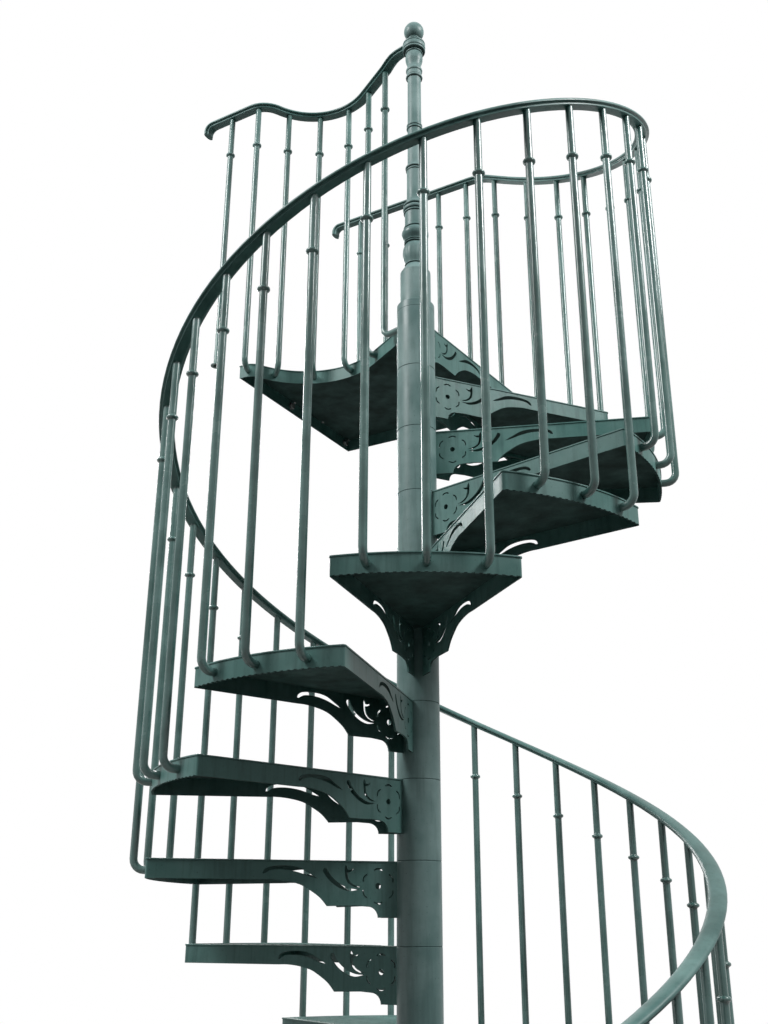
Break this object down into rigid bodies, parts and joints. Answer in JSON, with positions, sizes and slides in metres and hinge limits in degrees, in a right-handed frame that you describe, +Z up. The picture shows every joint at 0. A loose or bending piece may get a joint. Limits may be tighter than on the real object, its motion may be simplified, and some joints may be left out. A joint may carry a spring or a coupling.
{
  "type": "spiral staircase",
  "caption": "Cast metal spiral staircase with pierced treads round a column, bent-foot balusters, a moulded helical handrail and a scalloped landing with a ball-topped newel.",
  "frame": {"origin": "centre of the base plate's underside, on the stair's axis", "axes": "+Z up the column; the landing lies towards -X and +Y, its slab edge faces -X; the stair climbs counter-clockwise seen from above"},
  "size_m": [1.6015, 1.4828, 4.5487],
  "materials": {
    "tread_paint": "satin blue-green paint on cast metal",
    "newel_paint": "satin blue-green paint on turned metal",
    "baluster_paint": "satin blue-green paint on round bar",
    "handrail_paint": "semi-gloss dark teal paint",
    "base_paint": "satin blue-green paint on plate",
    "column_paint": "satin blue-green paint on steel tube"
  },
  "bodies": {
    "root": {"base_plate": "base_paint", "column": "column_paint", "tread_01": "tread_paint", "tread_02": "tread_paint", "tread_03": "tread_paint", "tread_04": "tread_paint", "tread_05": "tread_paint", "tread_06": "tread_paint", "tread_07": "tread_paint", "tread_08": "tread_paint", "tread_09": "tread_paint", "tread_10": "tread_paint", "tread_11": "tread_paint", "tread_12": "tread_paint", "tread_13": "tread_paint", "tread_14": "tread_paint", "tread_15": "tread_paint", "tread_16": "tread_paint", "balusters_flight_1": "baluster_paint", "balusters_flight_2": "baluster_paint", "balusters_flight_3": "baluster_paint", "balusters_flight_4": "baluster_paint", "landing_platform": "tread_paint", "landing_front_balusters": "baluster_paint", "landing_far_balusters": "baluster_paint", "handrail_1": "handrail_paint", "handrail_2": "handrail_paint", "handrail_3": "handrail_paint", "handrail_4": "handrail_paint", "landing_far_rail": "handrail_paint", "landing_front_rail": "handrail_paint", "newel_sleeve": "column_paint", "newel_post": "newel_paint", "ball_finial": "newel_paint"}
  },
  "joints": []
}
